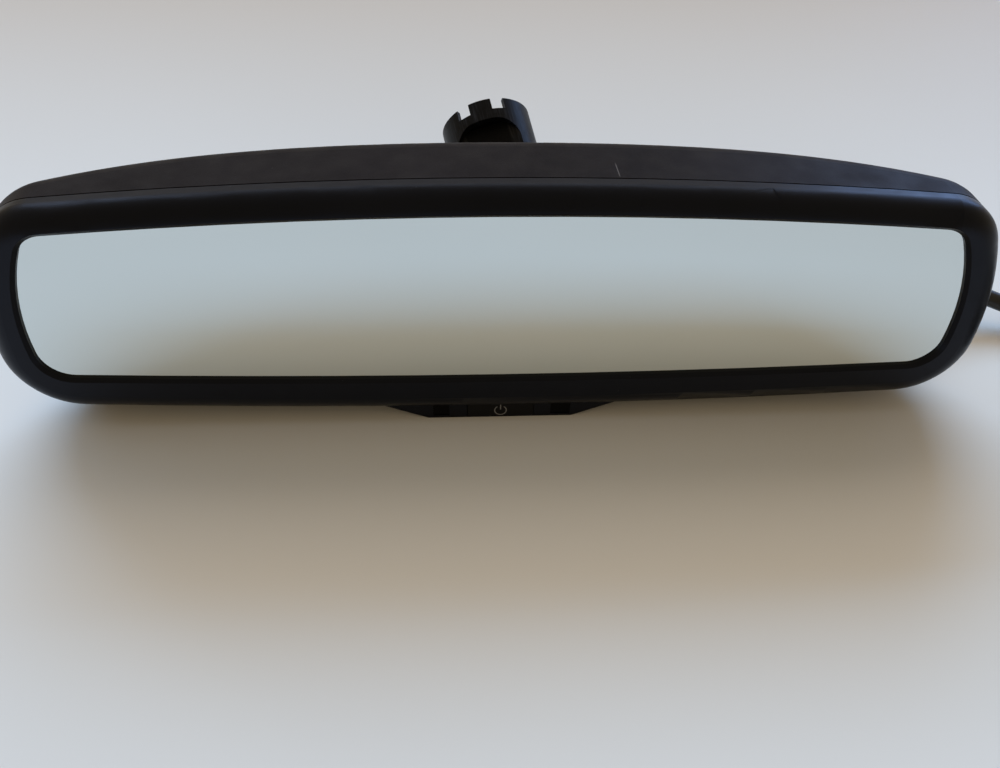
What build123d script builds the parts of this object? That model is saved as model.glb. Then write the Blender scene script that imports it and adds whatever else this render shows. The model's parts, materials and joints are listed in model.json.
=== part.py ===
from build123d import *
import os
from math import acos, cos, degrees, pi, radians, sin, sqrt, tan

# An automatic-dimming interior rearview mirror, in millimetres.
# The head is drawn in its own frame: X to the right, Y is depth behind the glass's front face,
# Z is height above the glass's centre. It is then leaned back about X and stood on its chin.

# --- Stance ---
HEAD_LEAN = 10.0            # degrees the glass leans back
CHIN_BOTTOM = 39.2          # glass centre down to the chin's underside, along the glass
HEAD_Z = CHIN_BOTTOM * cos(radians(HEAD_LEAN))

# --- Outline of the housing, seen square to the glass ---
HOUSING = dict(half=126.3, side_r=75.0, side_z=-12.8, top=30.0, top_r=1270.0,
               bottom=36.0, bottom_r=2100.0, top_corner=15.0, bottom_corner=18.5)
GLASS = dict(half=116.5, side_r=60.0, side_z=-10.0, top=24.0, top_r=1320.0,
             bottom=23.9, bottom_r=2750.0, top_corner=7.0, bottom_corner=8.0)

# --- Depths behind the glass's front face ---
BEZEL_FRONT = -1.5
PART_LINE = 6.5
BACK = 31.5
BACK_BOW = 2.0              # how far the back comes forward 100 mm from the middle
BACK_WRAP = 5.5             # the same, of the part that grows fastest near the ends
BACK_ROUND = 9.0            # round edge all round the back
WALL = 2.0
EDGE_ROUND = 5.7            # bezel's outer front edge
LIP_BEVEL = 0.9
REVEAL = 0.4                # groove along the parting line
BOTTOM_DRAFT = 0.12         # how much the shell's underside rises for each mm of depth

# --- Glass cell ---
CELL_LAP = 2.2              # glass hidden behind the bezel's lip
GLASS_T = 1.6
GEL_T = 0.4
SEAL_W = 1.8
CLIP_T = 0.25
PAD_T = 0.8
CARRIER_T = 1.5
CELL_BACK = GLASS_T * 2 + GEL_T
CARRIER_FRONT = CELL_BACK + PAD_T
CARRIER_BACK = CARRIER_FRONT + CARRIER_T
CARRIER_POST_R = 2.8
CARRIER_SCREW_R = 1.0
CARRIER_HEAD_R = 2.0
CARRIER_HEAD_T = 0.8
CARRIER_POSTS = [(-84.0, 10.0), (84.0, 10.0), (-84.0, -14.0), (84.0, -14.0)]

# --- Electronics ---
BOARD_Y = 9.5
BOARD_T = 1.2
BOARD_W, BOARD_H = 148.0, 30.0
PIPE_X, PIPE_Z, PIPE_R = -40.0, 6.0, 2.6
PLUG_X, PLUG_Z = 52.0, -4.0
PLUG_W, PLUG_H = 18.0, 9.0
PLUG_BACK = 40.4

# --- Chin ---
CHIN_FRONT = 0.5
CHIN_BACK = 9.5
CHIN_FLAT = 19.3            # half width of its flat underside
CHIN_FLARE = 36.0           # half width where it leaves the bezel
CHIN_FLARE_Z = -32.5
CHIN_WALL = 1.4
WINDOW_Z = -36.2
WINDOW_H = 4.2
LED_X, LED_W = -16.1, 4.4
SENSOR_X, SENSOR_W = 16.4, 5.4
BUTTON_X = 0.0
BUTTON_W = 18.3
BUTTON_H = 4.4
BUTTON_Z = -36.2
BUTTON_GAP = 0.2
BUTTON_PROUD = 0.3
BUTTON_TRAVEL = 0.5
SWITCH = 5.0
SWITCH_FRONT = 3.4
SWITCH_Z = -34.2
PLUNGER_R = 0.9
CHIN_BOARD_Y = 5.4

# --- Ball joints ---
BALL_R = 6.0
SEAT_T = 0.8
BALL_GAP = 0.15
SEAT_IN_R = BALL_R + BALL_GAP
SEAT_MID_R = SEAT_IN_R + SEAT_T
SEAT_OUT_IN_R = SEAT_MID_R + BALL_GAP
SEAT_OUT_R = SEAT_OUT_IN_R + SEAT_T
SOCKET_R = SEAT_OUT_R + BALL_GAP
NECK_R = 2.5
NECK_END = 15.0             # ball centre to the arm tube's end
ARM_R = 5.5
ARM_BORE = 3.5
SHANK = 9.0
STUD_STEP = 0.3             # the arm's tube stands this far proud of the stud, and is chamfered to it
HEAD_TRAVEL = 15.0          # degrees, each way, yaw and pitch at the head's ball
MOUNT_TRAVEL = 8.0          # the same at the mount's ball
NECK_ANGLE = degrees(acos(sqrt(1 - (NECK_R / BALL_R) ** 2)))
MARGIN = 2.0                # degrees kept clear round the swept neck
HEAD_SWEEP = NECK_ANGLE + HEAD_TRAVEL * sqrt(2) + MARGIN
MOUNT_SWEEP = NECK_ANGLE + MOUNT_TRAVEL * sqrt(2) + MARGIN

# --- Head pivot ---
HEAD_BALL_Y = 28.5
TOWER_R = 10.6
TOWER_BACK = 34.2
PLATE_Y = 18.9
PLATE_T = 1.6
PLATE_W, PLATE_H = 62.0, 36.0
SCREW_X, SCREW_Z = 25.0, 12.5
SCREW_R = 1.25
SCREW_GRIP = 6.0            # how far the screws go past the plate
BOSS_R = 3.4                # the shell's bosses behind the plate

# --- Mount collar ---
COLLAR_R = 14.5
COLLAR_BORE = 12.6          # where the bracket's boss goes
SOCKET_BORE = 12.3          # below it, where the socket block is pressed in
COLLAR_L = 22.0
COLLAR_ELEV = 21.3          # degrees its axis rises, going back
COLLAR_TURN = 12.4          # degrees its axis turns to the left, going back
COLLAR_X = -0.3             # centre of its rim
COLLAR_Y = 98.0             # the same, behind the glass's centre
COLLAR_EDGE = 0.4
SLOT_DEPTH = 4.0
SLOT_W = 4.3
SLOT_AT = 22.9              # degrees from a finger's centre to its slots
ARCH_TOP = 7.2              # rim to the top of the arm's relief arch
ARCH_W = 19.0
ARCH_FLAT = 10.3            # how near the axis the arch is cut
RING_R = 0.36               # the spring wire's own radius
RING_BACK = 0.02            # how far the wire stands back from the bore
RING_ROOM = 0.08            # room round it in its groove
RING_GAP = 2.4              # between the wire's ends
RING_LIFT = 0.3             # gap under it, in the slots
SOCKET_TOP = 15.3           # base to the socket block's top face
MOUNT_BALL = 6.3            # base to the ball's centre

# --- Cable, on the floor, in the row's own frame ---
MID_Y = 48.5                # glass centre to the middle of the object's depth
CABLE_D = 5.0
BOOT_L = 12.0
CABLE_ROUTE = [             # chosen by hand, from the boot to the coil
    (73.0, 34.76 - MID_Y, 28.41),
    (88.0, 34.76 - MID_Y, 28.41),
    (104.0, 36.0 - MID_Y, 23.5),
    (120.0, 36.0 - MID_Y, 17.0),
    (136.0, 33.5 - MID_Y, 11.5),
    (150.0, 29.0 - MID_Y, 7.8),
    (164.0, 23.5 - MID_Y, 5.2),
    (180.0, 18.5 - MID_Y, 3.8),
    (198.0, 14.5 - MID_Y, 3.4),
]
COIL_R = 28.0               # middle of the turns
COIL_W = 10.0               # across the turns
COIL_H = 9.4
COIL_LIFT = 1.0             # the tie under it
COIL_ANGLE = 77.5           # degrees round the coil, where the cable joins its outer turn
TIE_W, TIE_T = 3.6, 0.8
TIE_ANGLE = 200.0
CONNECTOR = (20.0, 11.0, 9.0)
CONNECTOR_ANGLE = 285.0


# --- Small helpers ---
def crossing(c1, r1, c2, r2):
    """Where two circles cross, on the right-hand side of their centres."""
    dx = c2[0] - c1[0]
    dz = c2[1] - c1[1]
    gap = sqrt(dx * dx + dz * dz)
    along = (gap * gap + r1 * r1 - r2 * r2) / (2 * gap)
    across = sqrt(r1 * r1 - along * along)
    mid = (c1[0] + along * dx / gap, c1[1] + along * dz / gap)
    spots = [
        (mid[0] + across * dz / gap, mid[1] - across * dx / gap),
        (mid[0] - across * dz / gap, mid[1] + across * dx / gap),
    ]
    return max(spots)


def outline(shape, inset=0.0):
    """A mirror's outline: four gentle arcs joined by four rounded corners."""
    half = shape["half"] - inset
    side_r = shape["side_r"] - inset
    top = shape["top"] - inset
    top_r = shape["top_r"] - inset
    bottom = shape["bottom"] - inset
    bottom_r = shape["bottom_r"] - inset
    side_c = (half - side_r, shape["side_z"])
    upper = crossing((0.0, top - top_r), top_r, side_c, side_r)
    lower = crossing((0.0, bottom_r - bottom), bottom_r, side_c, side_r)
    edges = [
        ThreePointArc((-upper[0], upper[1]), (0, top), upper),
        ThreePointArc(upper, (half, shape["side_z"]), lower),
        ThreePointArc(lower, (0, -bottom), (-lower[0], lower[1])),
        ThreePointArc((-lower[0], lower[1]), (-half, shape["side_z"]), (-upper[0], upper[1])),
    ]
    face = Face(Wire(edges))
    corners = face.vertices().sort_by(Axis.Y)
    face = face.fillet_2d(max(shape["bottom_corner"] - inset, 1.0), corners[:2])
    corners = [v for v in face.vertices() if abs(abs(v.X) - upper[0]) < 0.01 and abs(v.Y - upper[1]) < 0.01]
    return face.fillet_2d(max(shape["top_corner"] - inset, 1.0), corners)


def at_depth(face, depth):
    """Stand a flat face, drawn in X and height, upright at a depth."""
    return Plane(origin=(0, depth, 0), x_dir=(1, 0, 0), z_dir=(0, -1, 0)) * face


def slab(face, front, back):
    """A flat face given thickness from one depth to another."""
    return extrude(at_depth(face, front), amount=back - front, dir=(0, 1, 0))


def block(x, z, width, height, front, back):
    """A rectangular block centred at x, z."""
    return Pos(x, (front + back) / 2, z) * Box(width, back - front, height)


def rod(x, z, radius, front, back):
    """A round bar along the depth."""
    return Pos(x, (front + back) / 2, z) * Rot(90, 0, 0) * Cylinder(radius, back - front)


def joined(shapes):
    """Separate solids kept together as one group."""
    return Compound(children=list(shapes))


def polar(radius, angle):
    """A point of the XZ half plane, angle measured from +Z."""
    return (radius * sin(radians(angle)), 0, radius * cos(radians(angle)))


def turned(edges):
    """A profile in the XZ plane turned about Z."""
    return revolve(Face(Wire(edges)), Axis.Z)


def ball_seat(inner, outer, opening):
    """A nylon cup round a ball, open towards +Z, with a grease hole at its pole."""
    pole = 165.0
    middle = (opening + pole) / 2
    return turned([
        ThreePointArc(polar(outer, opening), polar(outer, middle), polar(outer, pole)),
        Line(polar(outer, pole), polar(inner, pole)),
        ThreePointArc(polar(inner, pole), polar(inner, middle), polar(inner, opening)),
        Line(polar(inner, opening), polar(outer, opening)),
    ])


def ball_stud():
    """A ball on a tapered neck, with a shank pressed into the arm's tube, along +Z."""
    neck_point = polar(BALL_R, NECK_ANGLE)
    end_r = ARM_R - STUD_STEP
    shank_end = NECK_END + SHANK
    return turned([
        ThreePointArc((0, 0, -BALL_R), polar(BALL_R, 100), neck_point),
        Line(neck_point, (end_r, 0, NECK_END)),
        Line((end_r, 0, NECK_END), (ARM_BORE, 0, NECK_END)),
        Line((ARM_BORE, 0, NECK_END), (ARM_BORE, 0, shank_end)),
        Line((ARM_BORE, 0, shank_end), (0, 0, shank_end)),
        Line((0, 0, shank_end), (0, 0, -BALL_R)),
    ])


def opening_cone(half_angle, length):
    """The room that an arm's neck sweeps, from a ball's centre along +Z."""
    return Pos(0, 0, length / 2) * Cone(0, length * tan(radians(half_angle)), length)


# --- Head: casing ---
def chin_face(inset=0.0):
    flat = CHIN_FLAT - inset
    low = -CHIN_BOTTOM + inset
    flare = CHIN_FLARE - inset
    root = CHIN_FLARE_Z + 4.5
    right = [(flat, low), (flare, CHIN_FLARE_Z), (flare, root)]
    left = [(-flare, root), (-flare, CHIN_FLARE_Z), (-flat, low)]
    points = right + left
    face = Face(Wire(Polyline(points, close=True)))
    rounded = [v for v in face.vertices() if abs(v.Y - low) < 0.01]
    return face.fillet_2d(4.0, rounded)


def below_table():
    """Everything under the plane that the chin's underside rests on."""
    deep = 60.0
    up = (0, -sin(radians(HEAD_LEAN)), cos(radians(HEAD_LEAN)))
    plane = Plane(origin=(0, 0, -CHIN_BOTTOM), x_dir=(1, 0, 0), z_dir=up)
    return plane * Pos(0, 0, -deep / 2) * Box(400, 200, deep)


def chin_block(front, back, inset=0.0):
    return slab(chin_face(inset), front, back)


def make_bezel():
    body = slab(outline(HOUSING), BEZEL_FRONT, PART_LINE)
    front = body.faces().sort_by(Axis.Y)[0]
    body = fillet(front.edges(), EDGE_ROUND)
    body += chin_block(CHIN_FRONT, PART_LINE)
    body -= slab(outline(GLASS), BEZEL_FRONT - 1, 2)
    inner_edge = body.faces().sort_by(Axis.Y)[0].inner_wires()[0].edges()
    body = chamfer(inner_edge, LIP_BEVEL)
    body -= slab(outline(GLASS, -CELL_LAP - 0.15), 0, PART_LINE + 1)
    body -= slab(outline(HOUSING, WALL), 1.6, PART_LINE + 1)
    body -= chin_block(CHIN_FRONT + CHIN_WALL, PART_LINE + 1, CHIN_WALL)
    body -= block(BUTTON_X, BUTTON_Z, BUTTON_W, BUTTON_H, CHIN_FRONT - 2, 4)
    body -= block(LED_X, WINDOW_Z, LED_W, WINDOW_H, CHIN_FRONT - 2, 4)
    body -= block(SENSOR_X, WINDOW_Z, SENSOR_W, WINDOW_H, CHIN_FRONT - 2, 4)
    return body - below_table()


def back_depth(x):
    """How deep the rear shell's back is, at a distance from the middle."""
    part = x / 100
    return BACK - BACK_BOW * part ** 2 - BACK_WRAP * part ** 4


def ahead_of_back(inset):
    """Everything in front of the shell's curved back, seen from above."""
    reach = 131.0
    steps = 12
    across = [reach * k / steps for k in range(-steps, steps + 1)]
    curve = Spline([(x, back_depth(x) - inset) for x in across])
    start = curve @ 0
    end = curve @ 1
    front = PART_LINE - 1
    sides = Polyline((end.X, end.Y), (end.X, front), (start.X, front), (start.X, start.Y))
    return extrude(Face(Wire([curve] + sides.edges())), 60, both=True)


def below_draft(inset):
    """Everything under the shell's underside, which rises towards the back."""
    deep = 60.0
    edge = (0, PART_LINE, inset - HOUSING["bottom"])
    plane = Plane(origin=edge, x_dir=(1, 0, 0), z_dir=(0, -BOTTOM_DRAFT, 1))
    return plane * Pos(0, 0, -deep / 2) * Box(400, 200, deep)


def shell_form(inset=0.0):
    """The rear shell's outer or inner form: the outline run back to a curved back with a round edge."""
    form = slab(outline(HOUSING, inset), PART_LINE, BACK + 1) & ahead_of_back(inset)
    back_edges = [edge for edge in form.edges() if edge.bounding_box().min.Y > PART_LINE + 1]
    form = fillet(back_edges, BACK_ROUND - inset)
    return form - below_draft(inset)


def make_rear_housing():
    shell = shell_form()
    shell += chin_block(PART_LINE, CHIN_BACK) - below_table()
    shell -= shell_form(WALL)
    shell -= chin_block(PART_LINE - 1, CHIN_BACK - CHIN_WALL, CHIN_WALL)
    reveal = slab(outline(HOUSING, -2), PART_LINE, PART_LINE + REVEAL)
    reveal -= slab(outline(HOUSING, REVEAL), PART_LINE - 1, PART_LINE + REVEAL + 1)
    reveal -= chin_block(PART_LINE - 1, PART_LINE + REVEAL + 1)
    shell -= reveal
    boss_front = PLATE_Y + PLATE_T
    for x in (-SCREW_X, SCREW_X):
        for z in (-SCREW_Z, SCREW_Z):
            shell += rod(x, z, BOSS_R, boss_front, BACK - WALL + 0.4)
            shell -= rod(x, z, SCREW_R, boss_front - 1, BACK - WALL - 2)
    for x, z in CARRIER_POSTS:
        shell += rod(x, z, CARRIER_POST_R, CARRIER_BACK, back_depth(x) - WALL + 0.5)
        shell -= rod(x, z, CARRIER_SCREW_R, CARRIER_BACK - 1, CARRIER_BACK + 10)
    shell -= rod(0, 0, TOWER_R + 0.4, PLATE_Y, BACK + 5)
    shell -= rod(PIPE_X, PIPE_Z, PIPE_R + 0.1, 20, BACK + 5)
    shell -= block(PLUG_X, PLUG_Z, PLUG_W + 0.6, PLUG_H + 0.6, 22, BACK + 5)
    return shell


# --- Head: glass cell ---
def make_cell():
    """The dimming cell: two glass plates, gel between them, a seal round it and a clip on each long edge."""
    seal = slab(outline(GLASS, -CELL_LAP + 0.6), GLASS_T, GLASS_T + GEL_T)
    seal -= slab(outline(GLASS, -CELL_LAP + 0.6 + SEAL_W), GLASS_T - 1, GLASS_T + GEL_T + 1)
    cell = {
        "front_glass": slab(outline(GLASS, -CELL_LAP), 0, GLASS_T),
        "gel_layer": slab(outline(GLASS, -CELL_LAP + 0.6 + SEAL_W), GLASS_T, GLASS_T + GEL_T),
        "cell_seal": seal,
        "rear_glass": slab(outline(GLASS, -CELL_LAP + 0.5), GLASS_T + GEL_T, CELL_BACK),
    }
    for name, z, side in (("bus_clip_top", 14.0, 1), ("bus_clip_bottom", -16.0, -1)):
        rim = slab(outline(GLASS, -CELL_LAP + 0.5 - CLIP_T), GLASS_T + GEL_T + 0.1, CELL_BACK + CLIP_T)
        rim -= slab(outline(GLASS, -CELL_LAP + 0.5), GLASS_T, CELL_BACK)
        rim -= slab(outline(GLASS, -CELL_LAP + 2.5), CELL_BACK - 1, CELL_BACK + 1)
        keep = Pos(0, 3, side * 25.0) * Box(180, 8, 16)
        cell[name] = rim & keep
    return cell


def make_backing():
    """What holds the cell: a foam pad, a carrier plate and its screws."""
    pad = slab(outline(GLASS, 2.0), CELL_BACK, CARRIER_FRONT)
    carrier = slab(outline(GLASS, 0.8), CARRIER_FRONT, CARRIER_BACK)
    screws = []
    for x, z in CARRIER_POSTS:
        under_head = CARRIER_FRONT + CARRIER_HEAD_T
        carrier -= rod(x, z, CARRIER_SCREW_R + 0.2, CARRIER_FRONT - 1, CARRIER_BACK + 1)
        carrier -= rod(x, z, CARRIER_HEAD_R + 0.2, CARRIER_FRONT - 1, under_head)
        pad -= rod(x, z, CARRIER_HEAD_R + 0.6, CELL_BACK - 1, CARRIER_FRONT + 1)
        screw = rod(x, z, CARRIER_HEAD_R, CARRIER_FRONT, under_head)
        screw += rod(x, z, CARRIER_SCREW_R, under_head, CARRIER_BACK + 8)
        screws.append(screw)
    for x in (-52.0, 0.0, 52.0):
        carrier -= block(x, 0, 30, 18, CARRIER_FRONT - 1, CARRIER_BACK + 1)
    return {"foam_pad": pad, "carrier_plate": carrier, "carrier_screws": joined(screws)}


# --- Head: electronics ---
def make_electronics():
    back = BOARD_Y + BOARD_T
    board = block(0, 0, BOARD_W, BOARD_H, BOARD_Y, back)
    board -= rod(0, 0, 2.0, BOARD_Y - 1, back + 1)
    chips = []
    for x, z, width, height, thick in (
        (-12, 2, 9, 9, 1.4), (-58, -4, 6, 5, 1.2), (-26, -9, 4, 3, 1.0), (18, 9, 5, 4, 1.5),
        (24, -8, 3.2, 1.6, 0.9), (30, 3, 6.5, 6, 1.8), (-62, 8, 3.2, 1.6, 0.9), (66, 9, 4, 3, 1.0),
    ):
        chips.append(block(x, z, width, height, back, back + thick))
    for x in (-48.0, 8.0):
        chips.append(rod(x, -9, 2.4, back, back + 5.0))
    header = block(PLUG_X, PLUG_Z, PLUG_W - 1.6, PLUG_H - 1.6, back, 26.0)
    header -= block(PLUG_X, PLUG_Z, PLUG_W - 4.0, PLUG_H - 4.0, 17.0, 27.0)
    for step in range(5):
        header += block(PLUG_X - 5 + 2.5 * step, PLUG_Z, 0.8, 0.8, 16.5, 23.0)
    sensor = block(PIPE_X, PIPE_Z, 4.0, 4.0, back, back + 1.2)
    pipe = rod(PIPE_X, PIPE_Z, PIPE_R, back + 1.2, BACK - 1.4)
    pipe += rod(PIPE_X, PIPE_Z, PIPE_R + 1.6, 25.0, 26.2)
    return {
        "circuit_board": board,
        "board_components": joined(chips),
        "header_connector": header,
        "ambient_sensor": sensor,
        "ambient_light_pipe": pipe,
    }


def make_chin_parts():
    """The small board in the chin, with what looks out of its windows, and the power switch."""
    board_back = CHIN_BOARD_Y + 1.0
    board = block(0, -32.6, 40, 8.4, CHIN_BOARD_Y, board_back)
    window_back = CHIN_FRONT + CHIN_WALL + 0.8
    windows = {}
    for name, x, width in (("led_window", LED_X, LED_W), ("sensor_window", SENSOR_X, SENSOR_W)):
        pane = block(x, WINDOW_Z, width, WINDOW_H, CHIN_FRONT + 0.2, CHIN_FRONT + CHIN_WALL)
        pane += block(x, WINDOW_Z + 0.9, width + 0.6, WINDOW_H, CHIN_FRONT + CHIN_WALL, window_back)
        windows[name] = pane
    switch = block(0, SWITCH_Z, SWITCH, SWITCH, SWITCH_FRONT, CHIN_BOARD_Y)
    switch -= rod(0, SWITCH_Z, PLUNGER_R + 0.05, SWITCH_FRONT - 1, CHIN_BOARD_Y - 0.4)
    button_front = CHIN_FRONT - BUTTON_PROUD
    flange_front = CHIN_FRONT + CHIN_WALL + 0.05
    plunger_front = flange_front + 0.7
    cap_w = BUTTON_W - 2 * BUTTON_GAP
    cap_h = BUTTON_H - 2 * BUTTON_GAP
    button = block(BUTTON_X, BUTTON_Z, cap_w, cap_h, button_front, plunger_front)
    button += block(BUTTON_X, BUTTON_Z + 1.4, BUTTON_W + 1.2, 2.6, flange_front, plunger_front)
    plunger = rod(0, SWITCH_Z, PLUNGER_R, plunger_front, plunger_front + 1.6)
    parts = {
        "chin_board": board,
        "glare_sensor": block(SENSOR_X, -35.6, 3.4, 2.8, window_back + 0.6, CHIN_BOARD_Y),
        "status_led": block(LED_X, -35.6, 1.8, 2.0, window_back + 1.4, CHIN_BOARD_Y),
        "switch_body": switch,
        "switch_plunger": plunger,
        "power_button": button,
    }
    parts.update(windows)
    return parts


# --- Head: pivot ---
def make_head_pivot(arm_place):
    plate_back = PLATE_Y + PLATE_T
    plate = block(0, 0, PLATE_W, PLATE_H, PLATE_Y, plate_back)
    plate = fillet(plate.edges().filter_by(Axis.Y), 5.0)
    plate -= rod(0, 0, 4.0, PLATE_Y - 1, plate_back + 1)
    screws = []
    for x in (-SCREW_X, SCREW_X):
        for z in (-SCREW_Z, SCREW_Z):
            plate -= rod(x, z, 1.8, PLATE_Y - 1, plate_back + 1)
            screw = rod(x, z, 2.8, PLATE_Y - 1.8, PLATE_Y)
            screw += rod(x, z, SCREW_R, PLATE_Y, plate_back + SCREW_GRIP)
            screws.append(screw)
    cavity = Pos(0, HEAD_BALL_Y, 0) * Sphere(SOCKET_R)
    sweep = arm_place * opening_cone(HEAD_SWEEP, 14.0)
    tower = rod(0, 0, TOWER_R, plate_back, TOWER_BACK) - cavity - sweep
    near = rod(0, 0, TOWER_R + 5, plate_back - 5, HEAD_BALL_Y)
    return {
        "pivot_plate": plate,
        "pivot_screws": joined(screws),
        "head_socket": tower & near,
        "head_socket_ring": tower - near,
    }


# --- Mount ---
def make_mount(ball_place_local):
    """The collar pushed onto the bracket, its spring ring and the socket block. Z runs from base to rim."""
    collar = Pos(0, 0, COLLAR_L / 2) * Cylinder(COLLAR_R, COLLAR_L)
    collar = chamfer(collar.edges().filter_by(GeomType.CIRCLE), COLLAR_EDGE)
    collar -= Pos(0, 0, COLLAR_L / 2) * Cylinder(SOCKET_BORE, COLLAR_L + 2)
    collar -= Pos(0, 0, (SOCKET_TOP + COLLAR_L + 1) / 2) * Cylinder(COLLAR_BORE, COLLAR_L + 1 - SOCKET_TOP)
    slot_low = COLLAR_L - SLOT_DEPTH
    for finger in (0, 120, 240):
        for side in (-SLOT_AT, SLOT_AT):
            slot = Pos(COLLAR_R, 0, slot_low + SLOT_DEPTH / 2 + 1) * Box(8, SLOT_W, SLOT_DEPTH + 2)
            collar -= Rot(0, 0, finger + side) * slot
    ring_z = slot_low + RING_R + RING_LIFT
    groove_r = COLLAR_BORE + RING_BACK + 2 * RING_R + RING_ROOM
    collar -= Pos(0, 0, ring_z) * Cylinder(groove_r, 2 * (RING_R + RING_ROOM))
    ring = Pos(0, 0, ring_z) * Torus(COLLAR_BORE + RING_BACK + RING_R, RING_R)
    ring -= Rot(0, 0, 180) * Pos(COLLAR_BORE, 0, ring_z) * Box(6, RING_GAP, 4)
    arch_top = COLLAR_L - ARCH_TOP
    foot = ARCH_W / 2 + 2
    head = ARCH_W / 2
    arch_points = [(-foot, -1), (foot, -1), (head, arch_top), (-head, arch_top)]
    arch_face = Face(Wire(Polyline(arch_points, close=True)))
    arch_face = arch_face.fillet_2d(6.5, arch_face.vertices().sort_by(Axis.Y)[2:])
    arch_plane = Plane(origin=(ARCH_FLAT, 0, 0), x_dir=(0, 1, 0), z_dir=(1, 0, 0))
    arch = extrude(arch_plane * arch_face, amount=10, dir=(1, 0, 0))
    collar -= arch
    block_base = 0.8
    solid = Pos(0, 0, (block_base + SOCKET_TOP) / 2) * Cylinder(SOCKET_BORE, SOCKET_TOP - block_base)
    solid -= arch
    solid -= Pos(0, 0, MOUNT_BALL) * Sphere(SOCKET_R)
    solid -= ball_place_local * opening_cone(MOUNT_SWEEP, 30.0)
    upper = Pos(0, 0, MOUNT_BALL + 20) * Box(60, 60, 40)
    return {
        "mount_collar": collar,
        "snap_ring": ring,
        "mount_socket": solid & upper,
        "mount_socket_keeper": solid - upper,
    }


# --- Where the mount stands, and where the arm runs ---
elev = radians(COLLAR_ELEV)
turn = radians(COLLAR_TURN)
collar_axis = Vector(-sin(turn) * cos(elev), cos(turn) * cos(elev), sin(elev))
rim_z = (COLLAR_L - COLLAR_EDGE) * sin(elev) + COLLAR_R * cos(elev)
rim = Vector(COLLAR_X, COLLAR_Y, rim_z)
collar_base = rim - collar_axis * COLLAR_L
mount_ball = collar_base + collar_axis * MOUNT_BALL
head_place = Pos(0, 0, HEAD_Z) * Rot(-HEAD_LEAN, 0, 0)
lean = radians(HEAD_LEAN)
head_ball = Vector(0, HEAD_BALL_Y * cos(lean), HEAD_Z - HEAD_BALL_Y * sin(lean))
arm_dir = (mount_ball - head_ball).normalized()
arm_length = (mount_ball - head_ball).length
side_dir = arm_dir.cross(Vector(0, 0, 1)).normalized()
arm_up = side_dir.cross(arm_dir).normalized()
# The collar's fingers and its arch are set about the side that faces up and forwards.
arch_side = Vector(-0.194, -0.40, 0.896)
arch_side = (arch_side - collar_axis * arch_side.dot(collar_axis)).normalized()
collar_place = Plane(origin=collar_base, x_dir=arch_side, z_dir=collar_axis).location
from_head = Plane(origin=head_ball, x_dir=side_dir, z_dir=arm_dir).location
from_mount = Plane(origin=mount_ball, x_dir=side_dir, z_dir=arm_dir * -1).location


def make_arm():
    tube_length = arm_length - 2 * NECK_END
    tube = Pos(0, 0, NECK_END + tube_length / 2) * Cylinder(ARM_R, tube_length)
    tube = chamfer(tube.edges().filter_by(GeomType.CIRCLE), STUD_STEP)
    tube -= Pos(0, 0, NECK_END + tube_length / 2) * Cylinder(ARM_BORE, tube_length + 2)
    return {
        "arm_tube": from_head * tube,
        "head_ball_stud": from_head * ball_stud(),
        "mount_ball_stud": from_mount * ball_stud(),
    }


def make_seats():
    inner_open = NECK_ANGLE + MARGIN
    seats = {}
    for end, place, travel in (("head", from_head, HEAD_TRAVEL), ("mount", from_mount, MOUNT_TRAVEL)):
        seats[end + "_seat_inner"] = place * ball_seat(SEAT_IN_R, SEAT_MID_R, inner_open)
        seats[end + "_seat_outer"] = place * ball_seat(SEAT_OUT_IN_R, SEAT_OUT_R, inner_open + travel)
    return seats


# --- Cable ---
def make_plug():
    """The plug in the housing's back, and the rubber boot on its side, in the head's frame."""
    tongue = block(PLUG_X, PLUG_Z, PLUG_W - 4.6, PLUG_H - 4.6, 17.6, 26.2)
    tongue -= block(PLUG_X, PLUG_Z, PLUG_W - 5.6, 1.4, 17.0, 24.0)
    plug = block(PLUG_X, PLUG_Z, PLUG_W, PLUG_H, 26.2, PLUG_BACK)
    plug = fillet(plug.edges().group_by(Axis.Y)[-1], 1.2) + tongue
    boot_x = PLUG_X + PLUG_W / 2
    boot = Pos(boot_x + BOOT_L / 2, PLUG_BACK - 4.4, PLUG_Z) * Rot(0, 90, 0) * Cone(3.9, 3.1, BOOT_L)
    return {"harness_plug": plug, "harness_boot": boot}


def make_cable():
    """Straight runs joined by tangent arcs as large as their runs allow."""
    points = [Vector(*point) for point in CABLE_ROUTE]
    radii = []
    for before, here, after in zip(points, points[1:], points[2:]):
        run = min((here - before).length, (after - here).length)
        bend = (here - before).get_angle(after - here)
        radii.append(0.45 * run / tan(radians(bend / 2)))
    path = FilletPolyline(*points, radius=radii)
    tube = sweep(Plane(origin=path @ 0, z_dir=path % 0) * Circle(CABLE_D / 2), path=path)
    ratio = tube.volume / (pi * CABLE_D ** 2 / 4 * path.length)
    print("cable radii", [round(radius, 1) for radius in radii])
    print("cable length", round(path.length, 1), "volume ratio", round(ratio, 4))
    return tube


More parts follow.
